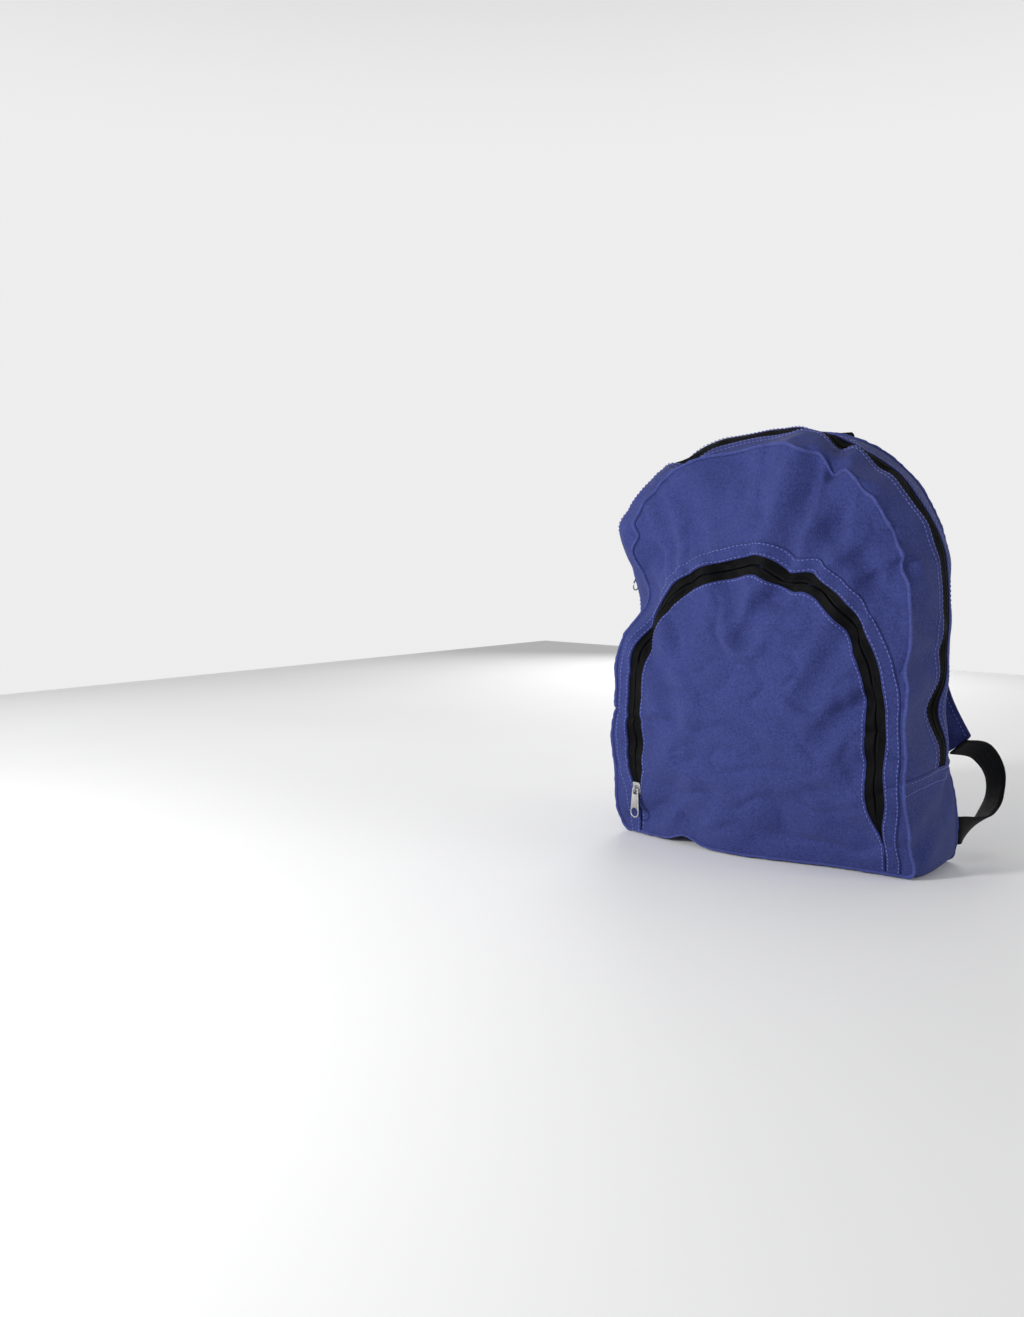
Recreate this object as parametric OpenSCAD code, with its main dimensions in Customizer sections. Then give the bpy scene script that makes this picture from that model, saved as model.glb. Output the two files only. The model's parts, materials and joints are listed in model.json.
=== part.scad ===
/* [Bag] */
// Width across the side walls
bag_w = 300; // [280:5:320]
// Height to the crown of the arch
bag_h = 388; // [380:4:420]
// Depth from the back panel to the fullest point of the front
bag_d = 125; // [115:5:140]
// Radius of the full, domed front
dome_r = 700; // [650:10:900]
// Height of the fullest point of the front
dome_z = 142; // [136:2:150]
// Radius of the two bottom corners
corner_r = 12; // [8:1:20]
// Thickness of a sewn cloth wall with its lining
cloth = 2.5; // [2:0.1:3]

/* [Main zip] */
// Distance of the main zip in front of the back panel
zip_to_back = 52; // [46:1:56]
// Height at which the two ends of the main zip are sewn in
zip_end_z = 85; // [70:1:100]

/* [Pocket] */
// Half width of the pocket, and radius of its arch
pocket_r = 118; // [110:1:122]
// Height of the two ends of the pocket zip
pocket_zip_end_z = 35; // [30:1:38]
// Height of the line where the pocket's panel folds when it is pulled open
flap_z = 64; // [64:1:80]
// Depth of the pocket behind its panel
pocket_depth = 18; // [14:1:20]

/* [Sliders] */
// Length of a slider
slider_len = 13; // [11:0.5:14]
// Width of a slider
slider_w = 9.5; // [9:0.5:11]
// Length of a puller below its cross bar
puller_len = 28; // [24:1:30]
// Rest height of the lower main slider
lower_slider_z = 236; // [200:1:236]
// Rest angle of the upper main slider round the arch
upper_slider_turn = 7.5; // [7.5:0.5:20]
// Rest height of the pocket slider
pocket_slider_z = 46; // [46:1:54]

/* [Straps] */
// Width of a padded shoulder strap
strap_w = 58; // [50:1:60]
// Thickness of a padded shoulder strap
strap_t = 9; // [8:0.5:10]
// Width of the black webbing
webbing_w = 25; // [20:1:26]
// Thickness of the black webbing
webbing_t = 1.8; // [1.5:0.1:2.2]

/* [Haul loop] */
// Distance between the middles of the loop's two ends
loop_span = 50; // [46:1:56]
// Straight length of each leg of the loop
loop_leg = 12; // [8:1:16]
// Slope of the loop below level as it hangs behind the crown
loop_slope = 10; // [0:1:20]

/* [Hidden] */
$fn = 96;

gap = 0.3;                          // clearance between neighbouring pieces
arch_r = bag_w / 2;
arch_z = bag_h - arch_r;
back_y = 58;                        // rear face of the back panel
front_y = back_y - bag_d;           // fullest point of the front
dome_y = front_y + dome_r;          // centre of the dome
zip_y = back_y - zip_to_back;       // middle of the main zip
front_foot = 4;                     // the front half starts this far above the floor
fold_gap = 1;                       // half the space left along the pocket's fold

coil_gap = 0.6;                     // half the space between the two rows of coil
coil_w = 2.4;
coil_t = 2.4;
coil_in = 0.4;                      // how far the coil lies below the cloth's face
tape_w = 5.1;
tape_t = 1;
zip_half = coil_gap + coil_w + gap + tape_w + gap;  // from the zip's middle to the cloth
lip_out = 2.8;                      // how far a seam lip stands out
lip_deep = 7;                       // how far a seam lip runs along the gusset
binding_t = 1.4;

plate_t = 1.2;
slot_t = coil_t + 0.7;              // space between a slider's two plates
bar_up = 1.4;                       // height of a puller's cross bar above the plate
puller_t = 1.3;
bail_r = 3.2;
bail_wire = 0.7;
coil_mid = coil_in + coil_t / 2;

cloth_blue = "#46508f";
cloth_dark = "#3a437f";
lining_blue = "#2c336f";
black = "#17181c";
coil_black = "#25262b";
nickel = "#c9c9c4";
foam_grey = "#d8d4c8";

// --- outlines, drawn with x across and y up -------------------------------------------

module bag_outline(inset = 0) {
  w = arch_r - inset;
  r = corner_r;
  translate([0, arch_z]) circle(r = w);
  translate([-w, r]) square([2 * w, arch_z - r]);
  translate([-arch_r + r, inset]) square([2 * (arch_r - r), r - inset + gap]);
  for (side = [-1, 1]) translate([side * (arch_r - r), r]) circle(r = r - inset);
}

module bag_ring(outer, inner) {
  difference() {
    bag_outline(outer);
    bag_outline(inner);
  }
}

module above(z) {
  intersection() {
    children();
    translate([-bag_w, z]) square([2 * bag_w, 2 * bag_h]);
  }
}

module below(z) {
  intersection() {
    children();
    translate([-bag_w, z - 2 * bag_h]) square([2 * bag_w, 2 * bag_h]);
  }
}

module pocket_outline(grow, foot) {
  w = pocket_r + grow;
  above(foot) {
    translate([0, dome_z]) circle(r = w);
    translate([-w, foot]) square([2 * w, dome_z - foot]);
  }
}

module pocket_ring(outer, inner, foot) {
  difference() {
    pocket_outline(outer, foot);
    pocket_outline(inner, foot - 1);
  }
}

// --- solids ---------------------------------------------------------------------------

module upright(y0, y1) {
  translate([0, y1, 0]) rotate([90, 0, 0]) linear_extrude(y1 - y0) children();
}

module dome(offset_r) {
  translate([0, dome_y, dome_z]) sphere(r = dome_r + offset_r, $fn = 180);
}

// a layer of the domed front between two distances from its face
module dome_layer(outer, inner) {
  difference() {
    intersection() {
      upright(front_y - 8, 0) children();
      dome(outer);
    }
    dome(inner);
  }
}

// a band round the bag, from just behind the front panel to the given depth
module front_band(y1) {
  intersection() {
    upright(front_y - 8, y1) children();
    dome(-cloth - gap);
  }
}

// --- panels ---------------------------------------------------------------------------

module back_panel() {
  color(cloth_dark) upright(back_y - cloth, back_y) bag_outline();
}

module back_foam() {
  color(foam_grey) upright(back_y - cloth - 5.5, back_y - cloth - gap) bag_outline(8);
}

module back_lining() {
  color(lining_blue) upright(back_y - cloth - 7, back_y - cloth - 5.8) bag_outline(6);
}

module rear_seam_lip() {
  color(cloth_blue) upright(back_y - lip_deep - 1, back_y) above(0) bag_ring(-lip_out, -gap);
}

module rear_inner_binding() {
  color(black) upright(back_y - 8, back_y - cloth - gap)
    above(4) bag_ring(cloth + gap, cloth + gap + binding_t);
}

module rear_gusset() {
  color(cloth_blue) upright(zip_y + zip_half, back_y - cloth - gap)
    above(zip_end_z) bag_ring(0, cloth);
}

module lower_side(side) {
  wall_x = arch_r - corner_r + gap;
  color(cloth_blue) intersection() {
    front_band(back_y - cloth - gap) bag_ring(0, cloth);
    translate([side > 0 ? wall_x : -wall_x - bag_w, -bag_d, 0])
      cube([bag_w, 2 * bag_d, zip_end_z - 1]);
  }
}

module lower_side_left() { lower_side(-1); }

module lower_side_right() { lower_side(1); }

module base_panel() {
  color(cloth_blue) front_band(back_y - cloth - gap)
    translate([-arch_r + corner_r, 0]) square([2 * (arch_r - corner_r), cloth]);
}

module front_panel() {
  color(cloth_blue) dome_layer(0, -cloth) difference() {
    above(front_foot) bag_outline();
    pocket_outline(zip_half, pocket_zip_end_z);
    pocket_outline(-zip_half + gap, 0);
  }
}

module front_gusset() {
  color(cloth_blue) front_band(zip_y - zip_half) above(zip_end_z) bag_ring(0, cloth);
}

module front_seam_lip() {
  color(cloth_blue) dome_layer(lip_out, -lip_deep) above(corner_r) bag_ring(-lip_out, -gap);
}

module front_inner_binding() {
  color(black) dome_layer(-cloth - gap, -cloth - 6)
    above(front_foot + 4) bag_ring(cloth + gap, cloth + gap + binding_t);
}

module pocket_lining() {
  wall = 1.3;
  color(lining_blue) difference() {
    dome_layer(-cloth - gap, -cloth - pocket_depth - wall) pocket_outline(12, front_foot + 1);
    dome_layer(0, -cloth - pocket_depth) pocket_outline(12 - wall, front_foot + 1 + wall);
  }
}

module pocket_panel() {
  color(cloth_blue) dome_layer(0, -cloth) pocket_outline(-zip_half, flap_z + fold_gap);
}

module pocket_panel_foot() {
  color(cloth_blue) dome_layer(0, -cloth)
    below(flap_z - fold_gap) pocket_outline(-zip_half, front_foot);
}

module pocket_facing() {
  color(cloth_blue) dome_layer(gap + 1, gap) pocket_ring(zip_half + 12, zip_half, pocket_zip_end_z);
}

// --- zips -----------------------------------------------------------------------------

// one strip of the main zip, by its distances from the zip's middle
module main_strip(from, to, thick) {
  upright(zip_y + min(from, to), zip_y + max(from, to))
    above(zip_end_z + 1) bag_ring(coil_mid - thick / 2, coil_mid + thick / 2);
}

// one strip of the pocket zip, by its distances from the zip's middle
module pocket_strip(inner, outer, thick, foot) {
  dome_layer(-coil_mid + thick / 2, -coil_mid - thick / 2) pocket_ring(outer, inner, foot);
}

// the short stretch of an inner strip that lies below the pocket's fold
module pocket_strip_foot(inner, outer, thick) {
  dome_layer(-coil_mid + thick / 2, -coil_mid - thick / 2)
    below(flap_z - fold_gap) pocket_ring(outer, inner, pocket_zip_end_z);
}

tape_0 = coil_gap + coil_w + gap;
tape_1 = tape_0 + tape_w;

module rear_zip_tape() { color(black) main_strip(tape_0, tape_1, tape_t); }

module front_zip_tape() { color(black) main_strip(-tape_0, -tape_1, tape_t); }

module main_coil_rear() { color(coil_black) main_strip(coil_gap, coil_gap + coil_w, coil_t); }

module main_coil_front() { color(coil_black) main_strip(-coil_gap, -coil_gap - coil_w, coil_t); }

module pocket_tape_outer() {
  color(black) pocket_strip(tape_0, tape_1, tape_t, pocket_zip_end_z);
}

module pocket_tape_inner() {
  color(black) pocket_strip(-tape_1, -tape_0, tape_t, flap_z + fold_gap);
}

module pocket_tape_foot() { color(black) pocket_strip_foot(-tape_1, -tape_0, tape_t); }

module pocket_coil_outer() {
  color(coil_black) pocket_strip(coil_gap, coil_gap + coil_w, coil_t, pocket_zip_end_z);
}

module pocket_coil_inner() {
  color(coil_black) pocket_strip(-coil_gap - coil_w, -coil_gap, coil_t, flap_z + fold_gap);
}

module pocket_coil_foot() {
  color(coil_black) pocket_strip_foot(-coil_gap - coil_w, -coil_gap, coil_t);
}

// --- sliders, drawn with the zip along z and the outside towards -y ---------------------

plate_out = slot_t / 2 + plate_t;   // outer face of a slider's plate from the coil's middle

module slider() {
  for (side = [-1, 1]) translate([0, side * (slot_t + plate_t) / 2, 0])
    intersection() {
      cube([slider_w, plate_t, slider_len], center = true);
      rotate([90, 0, 0]) cylinder(r = slider_len / 2 + 0.6, h = 2 * plate_t, center = true);
    }
  cube([coil_gap, slot_t + gap, slider_len / 3], center = true);
}

module bail() {
  translate([0, -plate_out, 0]) intersection() {
    rotate([0, 90, 0]) rotate_extrude($fn = 48) translate([bail_r, 0]) circle(r = bail_wire, $fn = 24);
    translate([-5, -10, -5]) cube([10, 10 - 0.02, 10]);
  }
}

// a puller hung on its bail: skew turns it flat on the slider, lift swings it outwards
module puller(skew, lift) {
  top_r = 3.8;
  end_r = 5.5;
  eye_r = 4.2;
  slot_w = 5;
  slot_h = 4.6;
  bar = 0.7;
  end_y = -puller_len + end_r;
  translate([0, -plate_out - bar_up, 0]) rotate([0, skew, 0]) rotate([-lift, 0, 0])
    translate([0, puller_t / 2, 0]) rotate([90, 0, 0]) linear_extrude(puller_t) difference() {
      hull() {
        translate([-top_r, -slot_h]) square([2 * top_r, slot_h + bar]);
        translate([0, end_y]) circle(r = end_r);
      }
      translate([-slot_w / 2, -slot_h - bar]) square([slot_w, slot_h]);
      translate([0, end_y]) circle(r = eye_r);
    }
}

module on_lower() {
  translate([-arch_r + coil_mid, zip_y, lower_slider_z]) rotate([0, 0, -90]) children();
}

module on_upper() {
  translate([0, zip_y, arch_z]) rotate([0, upper_slider_turn, 0])
    translate([-arch_r + coil_mid, 0, 0]) rotate([0, 0, -90]) children();
}

upper_skew = -30;                   // the two main pullers hang side by side
lower_skew = 5;
pocket_coil_r = dome_r - coil_mid;
pocket_side_turn = -asin(pocket_r / pocket_coil_r);
pocket_rise = asin((dome_z - pocket_slider_z) / (pocket_coil_r * cos(pocket_side_turn)));

module on_pocket() {
  translate([0, dome_y, dome_z]) rotate([pocket_rise, 0, 0]) rotate([0, 0, pocket_side_turn])
    translate([0, -pocket_coil_r, 0]) children();
}

module upper_slider() { color(nickel) on_upper() slider(); }

module upper_bail() { color(nickel) on_upper() bail(); }

module upper_puller() { color(nickel) on_upper() puller(upper_skew, 0); }

module lower_slider() { color(nickel) on_lower() slider(); }

module lower_bail() { color(nickel) on_lower() bail(); }

module lower_puller() { color(nickel) on_lower() puller(lower_skew, 0); }

module pocket_slider() { color(nickel) on_pocket() slider(); }

module pocket_bail() { color(nickel) on_pocket() bail(); }

module pocket_puller() { color(nickel) on_pocket() puller(0, pocket_rise); }

// --- straps ---------------------------------------------------------------------------

// the padded strap's middle line, from the patch round to its narrow lower end
strap_route = [
  [42.2, 61.2, 346], [42, 80, 346], [45, 97, 335], [51, 110, 306], [60, 115, 268],
  [71, 112, 222], [84, 104, 176], [106, 97, 133], [134, 93, 98]
];
// direction across the strap at each of those points
strap_across = [
  [1, 0, 0.25], [1, 0, 0.25], [1, 0, 0.26], [1, 0, 0.26], [1, 0, 0.27],
  [1, 0, 0.3], [1, 0.05, 0.4], [1, 0.1, 0.62], [1, 0.15, 0.75]
];
// width of the strap at each of those points, as shares of its full width
strap_share = [1, 1, 1, 1, 1, 1, 0.9, 0.68, 0.46];

// the webbing's middle line, from the strap's end back to the bag's lower corner
webbing_route = [
  [135.2, 92.8, 96.5], [147, 110, 92], [156, 122, 72], [158, 118, 50],
  [155, 100, 34], [151, 80, 28], [149, 62.5, 28]
];
// direction across the webbing at each of those points
webbing_across = [
  [0.72, -0.33, 0.61], [0.75, -0.25, 0.61], [0.85, -0.1, 0.45], [1, 0, 0.1],
  [0.95, -0.05, 0.3], [0.6, -0.05, 0.8], [0, 0, 1]
];

function blend4(a, b, c, d, t) =
  0.5 * (2 * b + (c - a) * t + (2 * a - 5 * b + 4 * c - d) * t * t + (3 * b - a - 3 * c + d) * t * t * t);

// a smooth line through the points, with the given number of steps between each pair
function smooth(p, steps) = [
  for (i = [0 : len(p) - 2]) for (k = [0 : steps - (i == len(p) - 2 ? 0 : 1)])
    blend4(p[max(i - 1, 0)], p[i], p[i + 1], p[min(i + 2, len(p) - 1)], k / steps)
];

function unit(v) = v / norm(v);

function part_of(list, a, b) = [for (i = [a : b]) list[i]];

function tangent(p, i) = unit(p[min(i + 1, len(p) - 1)] - p[max(i - 1, 0)]);

// a flat strip swept along a line
module ribbon(line, across, widths, thick) {
  n = len(line);
  rings = [
    for (i = [0 : n - 1])
      let (t = tangent(line, i), a = unit(across[i] - (across[i] * t) * t), f = cross(t, a))
        for (c = [[-1, -1], [1, -1], [1, 1], [-1, 1]])
          line[i] + a * (c[0] * widths[i] / 2) + f * (c[1] * thick / 2)
  ];
  sides = [for (i = [0 : n - 2], k = [0 : 3])
    [4 * i + k, 4 * i + 4 + k, 4 * i + 4 + (k + 1) % 4, 4 * i + (k + 1) % 4]];
  ends = [[0, 1, 2, 3], [for (k = [3 : -1 : 0]) 4 * (n - 1) + k]];
  polyhedron(points = rings, faces = concat(sides, ends));
}

strap_steps = 4;
strap_line = smooth(strap_route, strap_steps);
strap_dirs = smooth(strap_across, strap_steps);
strap_widths = [for (s = smooth(strap_share, strap_steps)) s * strap_w];
strap_n = len(strap_line);
sewn_n = 2;                         // rings of the sewn end that stay with the bag
free_n = 5;                         // first ring of the length that swings
webbing_line = smooth(webbing_route, strap_steps);
webbing_dirs = smooth(webbing_across, strap_steps);

// a length of the padded strap, thinner and narrower by the given amounts
module strap_length(from, to, slimmer, narrower) {
  ribbon(part_of(strap_line, from, to), part_of(strap_dirs, from, to),
         [for (i = [from : to]) strap_widths[i] - narrower], strap_t - slimmer);
}

module strap_patch() {
  color(cloth_blue) translate([-80, back_y + gap, 326]) cube([160, 1.2, 38]);
}

module strap_sewn_end() {
  color(cloth_blue) strap_length(0, sewn_n - 1, 3, 0);
}

module strap_cover() {
  color(cloth_blue) difference() {
    strap_length(free_n, strap_n - 1, 0, 0);
    strap_length(free_n + 1, strap_n - 2, 2.6, 5);
  }
}

module strap_foam() {
  color(foam_grey) strap_length(free_n + 2, strap_n - 3, 3.4, 6);
}

module strap_webbing() {
  color(black) ribbon(webbing_line, webbing_dirs, [for (p = webbing_line) webbing_w], webbing_t);
}

module left() { mirror([1, 0, 0]) children(); }

module strap_sewn_end_right() { strap_sewn_end(); }

module strap_sewn_end_left() { left() strap_sewn_end(); }

module strap_cover_right() { strap_cover(); }

module strap_cover_left() { left() strap_cover(); }

module strap_foam_right() { strap_foam(); }

module strap_foam_left() { left() strap_foam(); }

module strap_webbing_right() { strap_webbing(); }

module strap_webbing_left() { left() strap_webbing(); }

// --- haul loop ------------------------------------------------------------------------

loop_y = back_y + 3.2;
loop_z = bag_h - 8;

module haul_loop() {
  half = loop_span / 2;
  out_r = half + webbing_w / 2;
  in_r = half - webbing_w / 2;
  color(black) translate([0, loop_y, loop_z]) rotate([-loop_slope, 0, 0])
    translate([0, 0, -webbing_t / 2]) linear_extrude(webbing_t) {
      for (side = [-1, 1]) translate([side * half - webbing_w / 2, 0]) square([webbing_w, loop_leg]);
      intersection() {
        translate([0, loop_leg]) difference() {
          circle(r = out_r);
          circle(r = in_r);
        }
        translate([-bag_w, loop_leg]) square([2 * bag_w, bag_h]);
      }
    }
}

back_panel();
back_foam();
back_lining();
rear_seam_lip();
rear_inner_binding();
rear_gusset();
lower_side_left();
lower_side_right();
base_panel();
rear_zip_tape();
main_coil_rear();
strap_patch();
strap_sewn_end_left();
strap_sewn_end_right();
front_panel();
front_gusset();
front_seam_lip();
front_inner_binding();
front_zip_tape();
main_coil_front();
pocket_lining();
pocket_facing();
pocket_tape_outer();
pocket_coil_outer();
pocket_panel_foot();
pocket_tape_foot();
pocket_coil_foot();
pocket_panel();
pocket_tape_inner();
pocket_coil_inner();
upper_slider();
upper_bail();
upper_puller();
lower_slider();
lower_bail();
lower_puller();
pocket_slider();
pocket_bail();
pocket_puller();
haul_loop();
strap_cover_left();
strap_foam_left();
strap_webbing_left();
strap_cover_right();
strap_foam_right();
strap_webbing_right();
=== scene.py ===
import json
import math

import bpy
from mathutils import Matrix, Vector, noise


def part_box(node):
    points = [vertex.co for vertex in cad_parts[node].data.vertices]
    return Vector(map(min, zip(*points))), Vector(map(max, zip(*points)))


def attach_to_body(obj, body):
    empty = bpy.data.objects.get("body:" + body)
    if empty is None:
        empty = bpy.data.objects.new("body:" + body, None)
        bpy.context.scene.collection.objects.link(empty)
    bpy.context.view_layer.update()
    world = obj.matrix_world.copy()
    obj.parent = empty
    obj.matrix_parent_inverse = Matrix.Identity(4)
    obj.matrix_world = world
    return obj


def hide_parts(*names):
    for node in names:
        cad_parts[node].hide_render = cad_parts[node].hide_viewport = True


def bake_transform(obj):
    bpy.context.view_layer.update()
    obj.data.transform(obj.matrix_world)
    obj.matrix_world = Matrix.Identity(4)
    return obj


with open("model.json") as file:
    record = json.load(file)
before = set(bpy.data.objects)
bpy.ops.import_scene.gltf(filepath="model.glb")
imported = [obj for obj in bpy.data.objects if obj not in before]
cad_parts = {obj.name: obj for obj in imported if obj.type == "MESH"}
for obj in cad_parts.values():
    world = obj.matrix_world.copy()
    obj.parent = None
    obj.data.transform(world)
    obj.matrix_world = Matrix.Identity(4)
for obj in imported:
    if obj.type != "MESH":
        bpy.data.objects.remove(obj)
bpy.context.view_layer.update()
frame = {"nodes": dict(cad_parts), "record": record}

noise.seed_set(5)     # noise_vector differs from run to run without a seed
MM = 0.001
sin, cos, pi = math.sin, math.cos, math.pi

# --- sizes, in millimetres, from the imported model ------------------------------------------


def box_mm(node):
    low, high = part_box(node)
    return low / MM, high / MM


JOINTS = {j["name"]: j for j in frame["record"]["behaviour"]["joints"]}


def joint_mm(name):
    return Vector(JOINTS[name]["pos_m"]) / MM


HALF_W = box_mm("back_panel")[1].x
TOP = box_mm("back_panel")[1].z
BACK_Y = box_mm("back_panel")[1].y
ZIP_Y = joint_mm("upper_slider_travel").y
DOME = joint_mm("pocket_slider_travel")
DOME_R = DOME.y - box_mm("pocket_panel")[0].y
ZIP_END = box_mm("main_coil_front")[0].z - 1
POCKET_R = box_mm("pocket_coil_outer")[1].x - 3
POCKET_END = box_mm("pocket_coil_outer")[0].z

FRONT_INSET = 9       # how far the front seam lies inside the widest outline
REAR_INSET = 20       # the same for the rear seam
FRONT_DROP = 26       # how far the crown of the front seam lies below the top
ZIP_DROP = 8          # the same for the main zip
REAR_DROP = 7         # the same for the rear seam
CORNER = 13           # radius of the bottom corners
SQUARE = 1.98         # how full the shoulders of the arch are; 2 is a true circle
FULL_LEFT = 2.6       # the same for the fuller left shoulder
ZIP_HALF = 7.5        # from the middle of a zip to the edge of the cloth
FACING_W = 12         # width of the stitched strip round the pocket's zip
CLOTH_T = 1.1         # thickness of the cloth
LINING_UNDER = 7      # how far the pocket's lining reaches behind the facing
EDGE_WAVES = 110      # small waves round the edge of the pocket's cloth
BACK_IN = 1.5         # how far the back's cloth starts inside the CAD's back
BACK_PAD = 2.2        # how far its padding stands out from there
PATCH_HALF, PATCH_LOW, PATCH_HIGH = 74, 321, 356      # the strap patch on the back


def slider_spots():
    """The middle of each slider at both ends of its travel."""
    spots = []
    for name in ("upper", "lower", "pocket"):
        joint = JOINTS[f"{name}_slider_travel"]
        spot = sum(box_mm(f"{name}_slider"), Vector()) / 2
        axis = Vector(joint["axis"])
        if joint["type"] == "slide":
            end = spot + axis * joint["range_m"][1] / MM
        else:
            pin = Vector(joint["pos_m"]) / MM
            turned = Matrix.Rotation(math.radians(joint["range_deg"][1]), 3, axis)
            end = pin + turned @ (spot - pin)
        spots += [spot, end]
    return spots


SLIDER_SPOTS = slider_spots()

# --- the shape of the stuffed bag ----------------------------------------------------------

LEG = 0.27            # share of an arch's parameter that each leg takes
TURN = 0.05           # share that each bottom corner takes


def smooth(t):
    t = min(max(t, 0), 1)
    return t * t * (3 - 2 * t)


def mix(a, b, t):
    return a + (b - a) * t


def arch(half_w, crown, foot, u, corner=0, square=2.0):
    """(x, z) on an upright arch, with u from 0 at its left foot to 1 at its right foot."""
    side = -1 if u < 0.5 else 1
    w = min(u, 1 - u)
    spring = crown - half_w
    if w < TURN and corner:
        a = pi / 2 * w / TURN
        x, z = half_w - corner + corner * sin(a), foot + corner - corner * cos(a)
    elif w < LEG:
        start = TURN if corner else 0
        x, z = half_w, mix(foot + corner, spring, (w - start) / (LEG - start))
    else:
        a = pi / 2 * (w - LEG) / (0.5 - LEG)
        r = half_w * (max(cos(a), 0) ** square + sin(a) ** square) ** (-1 / square)
        x, z = r * cos(a), spring + r * sin(a)
    return Vector((side * x, 0, z))


def dome_y(x, z):
    reach = DOME_R**2 - x * x - (z - DOME.z) ** 2
    return DOME.y - math.sqrt(reach)


def on_dome(p):
    return Vector((p.x, dome_y(p.x, p.z), p.z))


def fullness(u):
    return FULL_LEFT if u < 0.5 else SQUARE


def front_seam(u):
    return on_dome(arch(HALF_W - FRONT_INSET, TOP - FRONT_DROP, 2, u, CORNER / 2, fullness(u)))


def main_line(u):
    p = arch(HALF_W, TOP - ZIP_DROP, 0, u, CORNER, fullness(u))
    return Vector((p.x, ZIP_Y, p.z))


def rear_seam(u):
    """The rear seam, which comes out to the full width at the foot, where the webbing is sewn in."""
    p = arch(HALF_W - REAR_INSET, TOP - REAR_DROP, 0, u, CORNER, fullness(u))
    p.x += math.copysign((REAR_INSET - 4) * (1 - smooth((p.z - 30) / 90)), p.x)
    return Vector((p.x, BACK_Y - 1, p.z))


def wall(u, q):
    """A point of the gusset, with q -1 on the front seam, 0 on the main zip and 1 on the rear seam."""
    middle = main_line(u)
    edge = front_seam(u) if q < 0 else rear_seam(u)
    t = abs(q) ** 1.7
    return Vector((mix(middle.x, edge.x, t), mix(middle.y, edge.y, abs(q)), mix(middle.z, edge.z, t)))


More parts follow.
